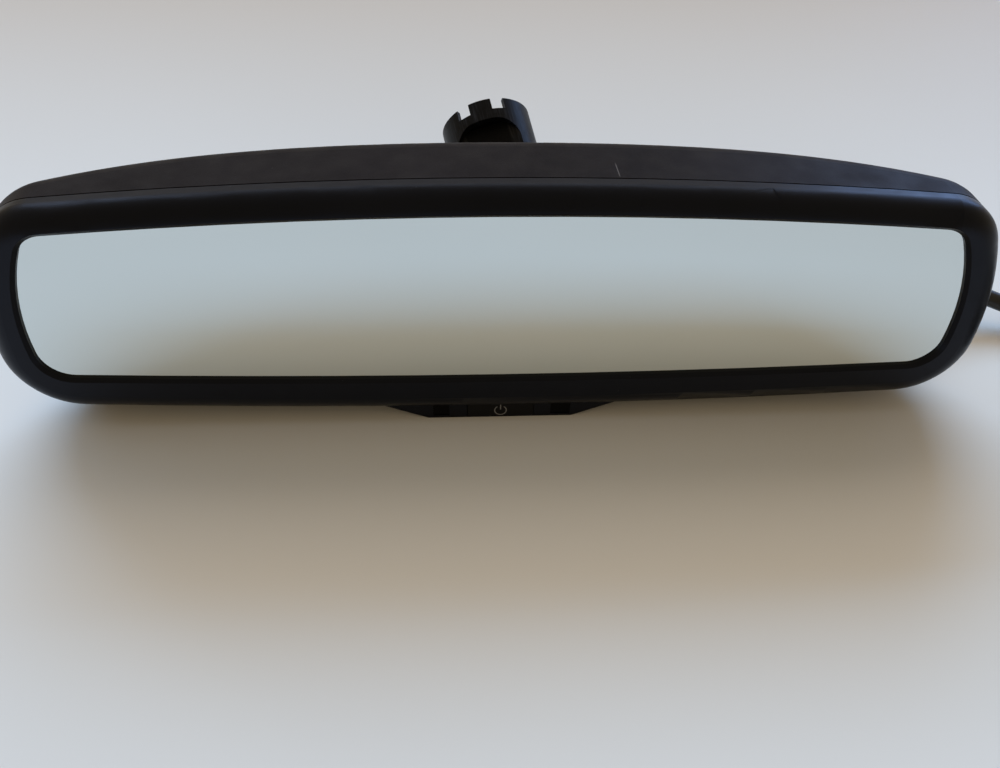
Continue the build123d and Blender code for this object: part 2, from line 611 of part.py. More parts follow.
def make_coil():
    """The put-away length as one ring, with its tie and the far connector lying on it."""
    outer_turn = COIL_R + CABLE_D / 2
    end = Vector(*CABLE_ROUTE[-1])
    angle = radians(COIL_ANGLE)
    centre = (end.X - outer_turn * cos(angle), end.Y - outer_turn * sin(angle))
    print("coil centre", [round(c, 2) for c in centre])
    middle = COIL_LIFT + COIL_H / 2
    section = Plane.XZ * Pos(COIL_R, middle) * RectangleRounded(COIL_W, COIL_H, 2.4)
    ring = revolve(section, Axis.Z)
    tie_space = 0.3
    hole = RectangleRounded(COIL_W + tie_space, COIL_H + tie_space, 2.4)
    band = RectangleRounded(COIL_W + tie_space + 2 * TIE_T, COIL_H + tie_space + 2 * TIE_T, 2.8) - hole
    tie = Pos(COIL_R, 0, middle) * Rot(90, 0, 0) * extrude(band, TIE_W / 2, both=True)
    length, width, height = CONNECTOR
    body = Pos(COIL_R, 0, COIL_LIFT + COIL_H + height / 2) * Box(width, length, height)
    body = fillet(body.edges().filter_by(Axis.Y), 1.2)
    body -= Pos(COIL_R, -length / 2, COIL_LIFT + COIL_H + height / 2) * Box(width - 3, 12, height - 3)
    place = Pos(centre[0], centre[1], 0)
    return {
        "harness_coil": place * ring,
        "cable_tie": place * Rot(0, 0, TIE_ANGLE) * tie,
        "harness_connector": place * Rot(0, 0, CONNECTOR_ANGLE) * body,
    }


def make_all():
    in_head = {"bezel": make_bezel(), "rear_housing": make_rear_housing()}
    in_head.update(make_cell())
    in_head.update(make_backing())
    in_head.update(make_electronics())
    in_head.update(make_chin_parts())
    in_head.update(make_head_pivot(head_place.inverse() * from_head))
    in_head.update(make_plug())
    nodes = {name: head_place * shape for name, shape in in_head.items()}
    mount = make_mount(collar_place.inverse() * from_mount)
    nodes.update({name: collar_place * shape for name, shape in mount.items()})
    nodes.update(make_arm())
    nodes.update(make_seats())
    nodes = {name: Pos(0, -MID_Y, 0) * shape for name, shape in nodes.items()}
    nodes["harness_cable"] = make_cable()
    nodes.update(make_coil())
    return nodes


def show(label, point, direction):
    place = (point.X, point.Y - MID_Y, point.Z)
    print(label, [round(v, 3) for v in place], [round(v, 5) for v in direction])


os.makedirs("parts", exist_ok=True)
nodes = make_all()
for name, shape in nodes.items():
    export_step(shape, "parts/" + name + ".step")

show("head ball", head_ball, arm_dir)
show("mount ball", mount_ball, arm_dir)
show("collar rim", rim, collar_axis)
print("joint axes: arm up", [round(v, 5) for v in arm_up], "side", [round(v, 5) for v in side_dir])
print("arm length between balls", round(arm_length, 2))
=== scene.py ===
"""Looks of an interior rearview mirror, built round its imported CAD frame, in metres."""
import json
import math

import bmesh
import bpy
from mathutils import Matrix, Vector


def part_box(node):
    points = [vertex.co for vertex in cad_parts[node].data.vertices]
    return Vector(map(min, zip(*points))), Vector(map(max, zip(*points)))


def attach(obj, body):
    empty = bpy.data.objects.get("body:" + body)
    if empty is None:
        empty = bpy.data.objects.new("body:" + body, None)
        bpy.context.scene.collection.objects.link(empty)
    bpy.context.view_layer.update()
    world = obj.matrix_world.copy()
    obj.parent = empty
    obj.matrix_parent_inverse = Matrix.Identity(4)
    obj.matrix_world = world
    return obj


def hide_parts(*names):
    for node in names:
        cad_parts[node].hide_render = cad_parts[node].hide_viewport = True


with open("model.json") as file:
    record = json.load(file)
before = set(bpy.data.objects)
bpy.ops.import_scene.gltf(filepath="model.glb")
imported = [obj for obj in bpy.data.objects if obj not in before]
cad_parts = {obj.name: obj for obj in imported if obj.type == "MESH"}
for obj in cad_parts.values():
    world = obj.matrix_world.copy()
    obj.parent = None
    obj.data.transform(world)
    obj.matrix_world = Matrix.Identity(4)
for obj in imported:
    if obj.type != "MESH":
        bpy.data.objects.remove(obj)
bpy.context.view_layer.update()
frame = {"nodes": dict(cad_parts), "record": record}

nodes = frame["nodes"]

MM = 0.001

# --- Driving dimensions of the head, as in the part ---
# A place on the head is a depth behind the glass's front face and a height above the glass's centre.
LEAN = math.radians(10.0)
DEPTHWISE = Vector((0.0, math.cos(LEAN), -math.sin(LEAN)))
MID_Y = 48.5 * MM                   # from the glass's centre back to the middle of the object's depth
CHIN_BOTTOM = 39.2 * MM             # from the glass's centre down to the chin's underside, along the glass
CENTRE_Z = CHIN_BOTTOM * math.cos(LEAN)
TOP_EDGE = 30.0 * MM                # height of the bezel's top
TOP_RADIUS = 1270.0 * MM            # of the long arc along the bezel's top
EDGE_ROUND = 5.7 * MM               # radius of the bezel's outer front edge
BEZEL_FRONT = -1.5 * MM
ROUND_DEPTH = BEZEL_FRONT + EDGE_ROUND
PART_LINE = 6.5 * MM                # where the bezel ends and the shell begins
REVEAL_BACK = PART_LINE + 0.4 * MM  # back of the groove along the parting line
BUTTON_Z = -36.2 * MM
BUTTON_FRONT = 0.2 * MM             # 0.3 mm proud of the chin's front

# --- Driving dimensions of the collar ---
COLLAR_RIM = Vector((-0.3, 49.5, 21.356)) * MM
COLLAR_AXIS = Vector((-0.20007, 0.90996, 0.36325))
COLLAR_R = 14.5 * MM

# --- Driving dimensions of the cord, in millimetres and degrees where nothing else is said ---
CABLE_D = 5.0 * MM
MIDDLE = MID_Y / MM                 # the depth of the object's middle, which the route is measured from
CABLE_ROUTE = [                     # from the boot to the coil
    (73.0, 34.76 - MIDDLE, 28.41),
    (88.0, 34.76 - MIDDLE, 28.41),
    (104.0, 36.0 - MIDDLE, 23.5),
    (120.0, 36.0 - MIDDLE, 17.0),
    (136.0, 33.5 - MIDDLE, 11.5),
    (150.0, 29.0 - MIDDLE, 7.8),
    (164.0, 23.5 - MIDDLE, 5.2),
    (180.0, 18.5 - MIDDLE, 3.8),
    (198.0, 14.5 - MIDDLE, 3.4),
]
COIL_CENTRE = (191.4, -63.78)
COIL_R = 28.0
COIL_PITCH = 5.15                   # from the middle of one turn to that of the next
COIL_START = 77.5                   # angle round the coil where the cable joins it
COIL_FLOOR = 3.5                    # height of the lowest turns' middle
COIL_TURNS = 3
TIE_ANGLE = 200.0
CONNECTOR_ANGLE = 285.0
CONNECTOR = (20.0, 11.0, 9.0)
CONNECTOR_FOOT = 10.4               # height of the connector's underside

# --- Camera ---
CAMERA_PLACE = (-0.01425, -0.19935, 0.19389)
CAMERA_RIGHT = Vector((0.9981, -0.0507, 0.0353))
CAMERA_UP = Vector((0.0173, 0.7784, 0.6275))
CAMERA_LENS = 31.68                 # millimetres, for a sensor 36 mm wide


def on_head(x, depth, height):
    """A point of the head's own frame, in the model's frame."""
    y = depth * math.cos(LEAN) + height * math.sin(LEAN) - MID_Y
    z = CENTRE_Z + height * math.cos(LEAN) - depth * math.sin(LEAN)
    return Vector((x, y, z))


def smooth(value, start, end):
    """From 0 to 1 as value goes from start to end, flat at both."""
    part = min(max((value - start) / (end - start), 0.0), 1.0)
    return part * part * (3 - 2 * part)


def add_object(name, data):
    """A new object in the scene."""
    made = bpy.data.objects.new(name, data)
    bpy.context.scene.collection.objects.link(made)
    return made


def make_camera():
    data = bpy.data.cameras.new("camera")
    data.sensor_fit = "HORIZONTAL"
    data.sensor_width = 36.0
    data.lens = CAMERA_LENS
    data.clip_start = 0.01
    data.clip_end = 20.0
    camera = add_object("camera", data)
    turn = Matrix((CAMERA_RIGHT, CAMERA_UP, CAMERA_RIGHT.cross(CAMERA_UP))).transposed().to_4x4()
    camera.matrix_world = Matrix.Translation(CAMERA_PLACE) @ turn
    bpy.context.scene.camera = camera


# --- Material building blocks ---
class Shader:
    """A principled material with helpers for its node tree."""

    def __init__(self, name):
        self.name = name
        self.material = bpy.data.materials.new(name + "_look")
        self.material.use_nodes = True
        self.tree = self.material.node_tree
        self.tree.nodes.clear()
        self.surface = self.node("ShaderNodeBsdfPrincipled")
        self.node("ShaderNodeOutputMaterial", {"Surface": self.surface.outputs["BSDF"]})
        self.place = self.node("ShaderNodeTexCoord").outputs["Object"]

    def feed(self, socket, value):
        """Gives a socket a number, a vector, a colour or another node's output."""
        if isinstance(value, bpy.types.NodeSocket):
            self.tree.links.new(value, socket)
        elif socket.type == "RGBA":
            socket.default_value = (*value, 1.0)
        else:
            socket.default_value = value

    def node(self, kind, sockets=None, **settings):
        """A new node with these settings, and with its named input sockets fed."""
        made = self.tree.nodes.new(kind)
        for key, value in settings.items():
            setattr(made, key, value)
        for key, value in (sockets or {}).items():
            self.feed(made.inputs[key], value)
        return made

    def math(self, operation, *values):
        made = self.node("ShaderNodeMath", operation=operation)
        for socket, value in zip(made.inputs, values):
            self.feed(socket, value)
        return made.outputs["Value"]

    def times(self, first, second):
        return self.math("MULTIPLY", first, second)

    def vector(self, operation, *values):
        """A vector operation's result, which is a number for a dot product or a length."""
        made = self.node("ShaderNodeVectorMath", operation=operation)
        for socket, value in zip(made.inputs, values):
            self.feed(socket, value)
        return made.outputs["Value" if operation in ("DOT_PRODUCT", "LENGTH") else "Vector"]

    def scaled(self, vector, amount):
        made = self.node("ShaderNodeVectorMath", {"Vector": vector, "Scale": amount}, operation="SCALE")
        return made.outputs["Vector"]

    def coordinate(self, axis):
        """The surface's X, Y or Z."""
        return self.node("ShaderNodeSeparateXYZ", {"Vector": self.place}).outputs[axis]

    def ranged(self, value, low, high, to_low=0.0, to_high=1.0):
        """From to_low to to_high as value goes from low to high, and level past both."""
        made = self.node("ShaderNodeMapRange", {"Value": value, "From Min": low, "From Max": high,
                                                "To Min": to_low, "To Max": to_high})
        return made.outputs["Result"]

    def between(self, kind, factor, first, second):
        """From the first to the second as factor goes from 0 to 1. The kind is RGBA or VECTOR."""
        made = self.node("ShaderNodeMix", {"Factor": factor}, data_type=kind)
        for key, value in (("A", first), ("B", second)):
            self.feed(next(s for s in made.inputs if s.name == key and s.type == kind), value)
        return next(s for s in made.outputs if s.type == kind)

    def mixed(self, factor, first, second):
        """A colour between two others. Each is a colour or another node's output."""
        return self.between("RGBA", factor, first, second)

    def laid_over(self, tone, mask, share, color):
        """The tone, with this share of another colour over it where the mask is 1."""
        return self.mixed(self.times(mask, share), tone, color)

    def noise(self, size, detail=3.0, roughness=0.5, stretch=(1, 1, 1), turn=(0, 0, 0)):
        """A noise whose blobs are about size metres across."""
        mapping = self.node("ShaderNodeMapping", {"Vector": self.place, "Scale": stretch, "Rotation": turn})
        made = self.node("ShaderNodeTexNoise", {"Vector": mapping.outputs["Vector"], "Scale": 1.0 / size,
                                                "Detail": detail, "Roughness": roughness})
        return made.outputs["Fac"]

    def dots(self, spacing, radius, share):
        """Scattered round specks: 1 inside one. A share of the cells holds one."""
        cells = self.node("ShaderNodeTexVoronoi", {"Vector": self.place, "Scale": 1.0 / spacing}).outputs
        near = self.ranged(cells["Distance"], radius / spacing * 0.7, radius / spacing, 1.0, 0.0)
        chance = self.node("ShaderNodeSeparateColor", {"Color": cells["Color"]}).outputs["Red"]
        return self.times(near, self.math("LESS_THAN", chance, share))

    def spot(self, point, radius):
        """1 at a point, fading to 0 at a radius from it."""
        gap = self.vector("LENGTH", self.vector("SUBTRACT", self.place, point))
        return self.ranged(gap, radius * 0.35, radius, 1.0, 0.0)

    def stroke(self, start, end, width):
        """1 along a straight line between two points, 0 away from it, with a ragged edge and soft ends."""
        along = (end - start).normalized()
        length = (end - start).length
        offset = self.vector("SUBTRACT", self.place, start)
        travel = self.vector("DOT_PRODUCT", offset, along)
        begun = self.ranged(travel, 0.0, 0.6 * MM)
        not_over = self.ranged(travel, length - 1.6 * MM, length, 1.0, 0.0)
        gap = self.vector("LENGTH", self.vector("CROSS_PRODUCT", offset, along))
        ragged = self.math("ADD", gap, self.times(self.noise(0.5 * MM, detail=2.0), width * 0.6))
        inside = self.ranged(ragged, width * 0.9, width * 1.4, 1.0, 0.0)
        return self.times(self.times(begun, not_over), inside)

    def bump(self, height, distance, strength, under=None):
        """A normal that follows a height, on top of another normal if one is given."""
        made = self.node("ShaderNodeBump", {"Height": height, "Distance": distance, "Strength": strength})
        if under is not None:
            self.feed(made.inputs["Normal"], under)
        return made.outputs["Normal"]

    def set(self, **values):
        """Feeds the surface's sockets, whose names have underscores here where theirs have spaces."""
        for key, value in values.items():
            self.feed(self.surface.inputs[key.replace("_", " ")], value)
        return self


def plastic(name, color, rough=0.42, grain=0.25, depth=0.02, mottle=0.25, gloss=0.5):
    """Moulded plastic: a fine sparked grain (sizes in mm), faint flow mottling and uneven sheen."""
    s = Shader(name)
    fine = s.noise(grain * MM, detail=2.0)
    cloud = s.noise(18 * MM, detail=4.0)
    darker = tuple(c * (1 - mottle) for c in color)
    lighter = tuple(c * (1 + mottle) for c in color)
    peaks = tuple(min(c * 1.6 + 0.004, 1) for c in color)
    tone = s.mixed(s.ranged(cloud, 0.3, 0.7), darker, lighter)
    tone = s.mixed(s.ranged(fine, 0.35, 0.75, 0.0, 0.5), tone, peaks)
    patchy = s.noise(6 * MM, detail=3.0)
    return s.set(Base_Color=tone, Roughness=s.ranged(patchy, 0.3, 0.7, rough - 0.05, rough + 0.06),
                 Normal=s.bump(fine, depth * MM, 0.6), Specular_IOR_Level=gloss)


def metal(name, color, rough=0.3, brush=(1, 1, 1), wear=0.25):
    """Plated or turned metal: brushed or speckled roughness and a faintly stained colour."""
    s = Shader(name)
    lines = s.noise(0.25 * MM, detail=2.0, stretch=brush)
    stain = s.noise(5 * MM, detail=5.0)
    dull = tuple(c * (1 - wear) for c in color)
    return s.set(Base_Color=s.mixed(s.ranged(stain, 0.35, 0.75), color, dull), Metallic=1.0,
                 Roughness=s.ranged(lines, 0.3, 0.7, rough - 0.08, rough + 0.12),
                 Normal=s.bump(lines, 0.01 * MM, 0.4))


def rubber(name, color, rough):
    """Matt rubber or cable jacket with a fine grain and a breath of dust."""
    s = Shader(name)
    fine = s.noise(0.4 * MM, detail=3.0)
    dust = s.noise(9 * MM, detail=5.0)
    dusty = tuple(c * 1.7 + 0.006 for c in color)
    return s.set(Base_Color=s.mixed(s.ranged(dust, 0.45, 0.8), color, dusty),
                 Roughness=s.ranged(fine, 0.3, 0.7, rough - 0.06, rough + 0.08),
                 Normal=s.bump(fine, 0.015 * MM, 0.5))


def clear(name, color, rough=0.08, gloss=0.55):
    """Clear or smoked plastic and glass, with faint wipe marks in its gloss."""
    s = Shader(name)
    marks = s.noise(1.2 * MM, detail=4.0)
    tone = s.mixed(s.ranged(s.noise(4 * MM), 0.3, 0.7), color, tuple(c * 0.8 for c in color))
    return s.set(Base_Color=tone, Roughness=s.ranged(marks, 0.35, 0.75, rough, rough + 0.06),
                 Specular_IOR_Level=gloss)


# --- Materials of one piece each ---
def bezel_normal(s):
    """The exact normal of the bezel's long top round, so its sheen runs evenly where the mesh is coarse.

    Off the round and towards the corners it goes over to the mesh's own normal.
    """
    centre = on_head(0.0, ROUND_DEPTH, TOP_EDGE - TOP_RADIUS)
    offset = s.vector("SUBTRACT", s.place, centre)
    behind = s.vector("DOT_PRODUCT", offset, DEPTHWISE)
    radial = s.vector("SUBTRACT", offset, s.scaled(DEPTHWISE, behind))
    outwards = s.math("SUBTRACT", s.vector("LENGTH", radial), TOP_RADIUS - EDGE_ROUND)
    never_zero = s.math("MAXIMUM", outwards, 0.01 * MM)
    outer = s.scaled(s.vector("NORMALIZE", radial), never_zero)
    front = s.scaled(DEPTHWISE, s.math("MINIMUM", behind, 0.0))
    exact = s.vector("NORMALIZE", s.vector("ADD", outer, front))
    turned = s.node("ShaderNodeVectorTransform", {"Vector": exact}, vector_type="NORMAL",
                    convert_from="OBJECT", convert_to="WORLD").outputs["Vector"]
    off_corners = s.ranged(s.math("ABSOLUTE", s.coordinate("X")), 88 * MM, 104 * MM, 1.0, 0.0)
    chosen = s.times(off_corners, s.ranged(outwards, 0.5 * MM, 0.9 * MM))
    own = s.node("ShaderNodeNewGeometry").outputs["Normal"]
    return s.vector("NORMALIZE", s.between("VECTOR", chosen, own, turned))


def bezel_material():
    """Satin black plastic, smoother than the shell, with a bluish cast, faint dust and rub marks."""
    s = Shader("bezel_plastic")
    cloud = s.noise(25 * MM, detail=4.0)
    tone = s.mixed(s.ranged(cloud, 0.3, 0.7), (0.0014, 0.0014, 0.0022), (0.0030, 0.0030, 0.0042))
    tone = s.laid_over(tone, s.dots(2.6 * MM, 0.10 * MM, 0.10), 0.45, (0.16, 0.16, 0.17))
    rub = s.noise(2.2 * MM, detail=5.0, stretch=(0.35, 1, 1))
    fine = s.bump(s.noise(0.16 * MM, detail=2.0), 0.010 * MM, 0.5, bezel_normal(s))
    wavy = s.bump(s.noise(3.5 * MM, detail=2.0), 0.008 * MM, 0.5, fine)
    return s.set(Base_Color=tone, Roughness=s.ranged(rub, 0.3, 0.75, 0.30, 0.42), Normal=wavy,
                 Specular_IOR_Level=0.23, Specular_Tint=(0.66, 0.74, 1.0))


def housing_material():
    """Textured black plastic: a warm film of dust, pale grains, a pale scratch, and painted shade in the
    groove at the parting line.
    """
    s = Shader("housing_plastic")
    grain = s.noise(0.32 * MM, detail=3.0, roughness=0.6)
    cloud = s.noise(35 * MM, detail=4.0)
    tone = s.mixed(s.ranged(cloud, 0.35, 0.7), (0.0040, 0.0031, 0.0033), (0.0072, 0.0056, 0.0060))
    tone = s.mixed(s.ranged(grain, 0.45, 0.85, 0.0, 0.40), tone, (0.026, 0.022, 0.025))
    tone = s.laid_over(tone, s.dots(3.4 * MM, 0.11 * MM, 0.12), 0.5, (0.20, 0.19, 0.18))
    scratch_start = on_head(26.4 * MM, 7.4 * MM, 29.7 * MM)
    scratch_end = on_head(26.3 * MM, 14.6 * MM, 29.7 * MM)
    tone = s.laid_over(tone, s.stroke(scratch_start, scratch_end, 0.14 * MM), 0.55, (0.15, 0.13, 0.12))
    depth = s.vector("DOT_PRODUCT", s.vector("SUBTRACT", s.place, on_head(0.0, 0.0, 0.0)), DEPTHWISE)
    soft = 0.05 * MM
    # Painted shade: the groove along the parting line is made near-black, with almost no sheen.
    groove_shade = s.ranged(depth, REVEAL_BACK - soft, REVEAL_BACK + soft, 1.0, 0.0)
    tone = s.mixed(groove_shade, tone, (0.0004, 0.0004, 0.0006))
    return s.set(Base_Color=tone, Roughness=s.ranged(s.noise(7 * MM, detail=4.0), 0.3, 0.7, 0.46, 0.58),
                 Normal=s.bump(grain, 0.030 * MM, 0.6), Specular_Tint=(0.95, 0.82, 0.92),
                 Specular_IOR_Level=s.ranged(groove_shade, 0.0, 1.0, 0.14, 0.01))


def mirror_material():
    """Silvered glass: a faint cool tint, a breath of haze, a few dark specks and a smear near one end."""
    s = Shader("mirror_glass")
    haze = s.noise(30 * MM, detail=4.0, stretch=(1, 1, 1.6))
    wiped = s.noise(3.0 * MM, detail=3.0, stretch=(0.25, 1, 1), turn=(0, 0.35, 0))
    film = s.times(s.ranged(haze, 0.42, 0.8), s.ranged(wiped, 0.35, 0.7, 0.55, 1.0))
    specks = s.dots(21 * MM, 0.34 * MM, 0.11)
    broken = s.ranged(s.noise(1.1 * MM, detail=3.0, stretch=(0.5, 1, 1)), 0.48, 0.62)
    smear = s.times(s.spot(on_head(112.0 * MM, 0.0, 15.5 * MM), 3.2 * MM), broken)
    tone = s.mixed(s.times(film, 0.35), (0.715, 0.780, 0.785), (0.750, 0.790, 0.790))
    tone = s.mixed(specks, tone, (0.06, 0.06, 0.05))
    tone = s.laid_over(tone, smear, 0.35, (0.35, 0.37, 0.38))
    rough = s.math("ADD", s.ranged(film, 0.0, 1.0, 0.012, 0.040), s.times(specks, 0.5))
    rough = s.math("ADD", rough, s.times(smear, 0.25))
    return s.set(Base_Color=tone, Metallic=1.0, Roughness=rough)


def collar_material():
    """Glass-filled nylon: matt, slightly swirled, with fine draw lines along its length and pale dust."""
    s = Shader("collar_plastic")
    across = COLLAR_AXIS.cross(Vector((0.0, 0.0, 1.0))).normalized()
    raised = across.cross(COLLAR_AXIS)
    offset = s.vector("SUBTRACT", s.place, COLLAR_RIM)
    ways = (across, raised, COLLAR_AXIS)
    sideways, upwards, along = (s.vector("DOT_PRODUCT", offset, way) for way in ways)
    round_it = s.times(s.math("ARCTAN2", sideways, upwards), COLLAR_R)
    drawn_out = s.times(along, 0.07)
    unrolled = s.node("ShaderNodeCombineXYZ", {"X": round_it, "Y": drawn_out})
    lines = s.node("ShaderNodeTexNoise", {"Vector": unrolled.outputs["Vector"], "Scale": 1.0 / (0.55 * MM),
                                          "Detail": 3.0}).outputs["Fac"]
    swirl = s.noise(1.6 * MM, detail=5.0, roughness=0.65)
    tone = s.mixed(s.ranged(swirl, 0.35, 0.75), (0.0022, 0.0021, 0.0024), (0.0060, 0.0058, 0.0065))
    tone = s.mixed(s.ranged(lines, 0.50, 0.72, 0.0, 0.55), tone, (0.030, 0.029, 0.032))
    tone = s.laid_over(tone, s.dots(1.8 * MM, 0.09 * MM, 0.16), 0.45, (0.16, 0.16, 0.16))
    ridged = s.bump(lines, 0.05 * MM, 0.6)
    return s.set(Base_Color=tone, Roughness=s.ranged(swirl, 0.3, 0.7, 0.34, 0.48),
                 Normal=s.bump(s.noise(0.2 * MM, detail=2.0), 0.015 * MM, 0.5, ridged),
                 Specular_IOR_Level=0.13)


def board_material():
    """Green solder mask with faint copper traces under it."""
    s = Shader("board")
    bricks = s.node("ShaderNodeTexBrick", {"Vector": s.place, "Scale": 260.0, "Mortar Size": 0.06})
    traces = bricks.outputs["Fac"]
    return s.set(Base_Color=s.mixed(traces, (0.010, 0.070, 0.030), (0.030, 0.130, 0.055)),
                 Roughness=s.ranged(s.noise(2 * MM), 0.3, 0.7, 0.28, 0.40),
                 Normal=s.bump(traces, 0.03 * MM, 0.4))


def foam_material():
    """Dark closed-cell foam."""
    s = Shader("foam")
    cells = s.node("ShaderNodeTexVoronoi", {"Vector": s.place, "Scale": 2200.0}).outputs["Distance"]
    return s.set(Base_Color=s.mixed(cells, (0.02, 0.02, 0.022), (0.07, 0.07, 0.075)), Roughness=0.9,
                 Normal=s.bump(cells, 0.15 * MM, 0.7))


def make_materials():
    """All materials by name. Those with a slot in the record have its name."""
    along_x = (0.05, 1, 1)
    made = [
        bezel_material(), housing_material(), mirror_material(), collar_material(), board_material(),
        foam_material(),
        clear("clear_glass", (0.55, 0.60, 0.60)),
        clear("gel", (0.30, 0.44, 0.44), 0.15),
        clear("window_plastic", (0.001, 0.001, 0.0015), 0.10, gloss=0.08),
        clear("lens_plastic", (0.55, 0.55, 0.52), 0.22),
        plastic("seal_epoxy", (0.05, 0.05, 0.055), 0.5),
        plastic("carrier_plastic", (0.025, 0.025, 0.027), 0.5),
        plastic("chip_plastic", (0.014, 0.014, 0.015), 0.45, grain=0.12),
        plastic("connector_plastic", (0.018, 0.018, 0.020), 0.42, grain=0.2),
        plastic("button_plastic", (0.0018, 0.0018, 0.0024), 0.42, grain=0.15, depth=0.012, gloss=0.15),
        plastic("seat_nylon", (0.62, 0.60, 0.54), 0.38, grain=0.3, mottle=0.06),
        plastic("tie_nylon", (0.016, 0.016, 0.017), 0.36),
        plastic("icon_ink", (0.17, 0.17, 0.18), 0.5, grain=0.1, mottle=0.10, gloss=0.3),
        # socket_zinc and arm_metal are near-black, and socket_zinc has almost no sheen. This is partly
        # their own black finish and partly painted shade for the dark recess under the collar's arch.
        plastic("socket_zinc", (0.0022, 0.0022, 0.0027), 0.45, grain=0.5, depth=0.03, gloss=0.08),
        plastic("arm_metal", (0.0045, 0.0045, 0.0052), 0.40, grain=0.35, depth=0.03, gloss=0.3),
        metal("copper_strip", (0.72, 0.42, 0.24), 0.28, along_x),
        metal("plate_steel", (0.55, 0.56, 0.58), 0.34, along_x),
        metal("screw_steel", (0.48, 0.48, 0.50)),
        metal("ball_steel", (0.40, 0.40, 0.41), 0.24, (1, 0.1, 1)),
        metal("spring_steel", (0.72, 0.72, 0.74), 0.16, wear=0.15),
        metal("contact_tin", (0.62, 0.61, 0.58), 0.25),
        rubber("boot_rubber", (0.010, 0.010, 0.010), 0.62),
        rubber("cable_jacket", (0.0085, 0.0085, 0.0095), 0.40),
    ]
    return {s.name: s.material for s in made}


def dress_frame(materials):
    """Each CAD node takes the material of its slot in the record."""
    for entry in frame["record"]["subparts"]:
        mesh = nodes[entry["node"]].data
        mesh.materials.clear()
        mesh.materials.append(materials[entry["material_slot"]])


# --- Mesh helpers ---
def piece(name, verts, faces, material, body, flat=False):
    """A mesh object that rides on a body, shaded smooth unless flat is asked for."""
    mesh = bpy.data.meshes.new(name)
    mesh.from_pydata([tuple(v) for v in verts], [], faces)
    mesh.validate()
    mesh.materials.append(material)
    shell = bmesh.new()
    shell.from_mesh(mesh)
    bmesh.ops.recalc_face_normals(shell, faces=shell.faces)
    shell.to_mesh(mesh)
    shell.free()
    mesh.polygons.foreach_set("use_smooth", [not flat] * len(mesh.polygons))
    made = add_object(name, mesh)
    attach(made, body)
    return made


def lathe(sections, start, steps=48):
    """A closed turned form along +X from its start. sections are (distance, radius)."""
    verts, faces = [], []
    for distance, radius in sections:
        for k in range(steps):
            angle = 2 * math.pi * k / steps
            verts.append(start + Vector((distance, radius * math.cos(angle), radius * math.sin(angle))))
    for ring in range(len(sections) - 1):
        for k in range(steps):
            a = ring * steps + k
            b = ring * steps + (k + 1) % steps
            faces.append((a, b, b + steps, a + steps))
    faces.append(tuple(range(steps)))
    faces.append(tuple(range(len(verts) - steps, len(verts))))
    return verts, faces


def blocks(parts, edge, place):
    """Bevelled blocks as one mesh, put in a place. Their sizes are in millimetres.

    parts are (centre, size, share), where share is how much of its width and height is left at the -Y end.
    """
    shell = bmesh.new()
    for centre, size, share in parts:
        for v in bmesh.ops.create_cube(shell, size=1.0)["verts"]:
            left = share if v.co.y < 0 else 1.0
            corner = Vector((v.co.x * size[0] * left, v.co.y * size[1], v.co.z * size[2] * left))
            v.co = (corner + Vector(centre)) * MM
    bmesh.ops.bevel(shell, geom=shell.edges[:], offset=edge * MM, segments=2, affect="EDGES")
    shell.verts.index_update()
    verts = [place @ v.co for v in shell.verts]
    faces = [[v.index for v in f.verts] for f in shell.faces]
    shell.free()
    return verts, faces


def on_coil(angle, height):
    """The frame of a place on the coil: X outwards, Y along the turns, Z up."""
    centre = Matrix.Translation((COIL_CENTRE[0] * MM, COIL_CENTRE[1] * MM, height * MM))
    return centre @ Matrix.Rotation(math.radians(angle), 4, "Z") @ Matrix.Translation((COIL_R * MM, 0, 0))


# --- Button's icon ---
def make_icon(materials):
    """A plain power symbol: an open ring and a bar, printed on the button."""
    outer, inner = 1.72 * MM, 1.44 * MM
    half_gap = math.radians(34)
    ring_z = BUTTON_Z - 0.30 * MM
    front, back = BUTTON_FRONT - 0.03 * MM, BUTTON_FRONT + 0.02 * MM
    verts, faces = [], []

    def add_wall(outline):
        """The edge of a flat print: its outline at the front and at the back, and faces between them."""
        base = len(verts)
        count = len(outline)
        for depth in (front, back):
            verts.extend(on_head(x, depth, ring_z + z) for x, z in outline)
        for k in range(count):
            after = (k + 1) % count
            faces.append((base + k, base + after, base + count + after, base + count + k))
        return base, count

    steps = 40
    angles = [math.pi / 2 + half_gap + (2 * math.pi - 2 * half_gap) * k / steps for k in range(steps + 1)]
    ring = [(outer * math.cos(a), outer * math.sin(a)) for a in angles]
    ring += [(inner * math.cos(a), inner * math.sin(a)) for a in reversed(angles)]
    base, count = add_wall(ring)
    for side in (base, base + count):
        for k in range(steps):
            opposite = side + count - 1 - k
            faces.append((side + k, side + k + 1, opposite - 1, opposite))
    half_bar, low, high = 0.15 * MM, 0.25 * MM, 2.05 * MM
    base, count = add_wall([(-half_bar, low), (half_bar, low), (half_bar, high), (-half_bar, high)])
    for side in (base, base + count):
        faces.append(tuple(range(side, side + count)))
    piece("power_icon", verts, faces, materials["icon_ink"], "button", flat=True)


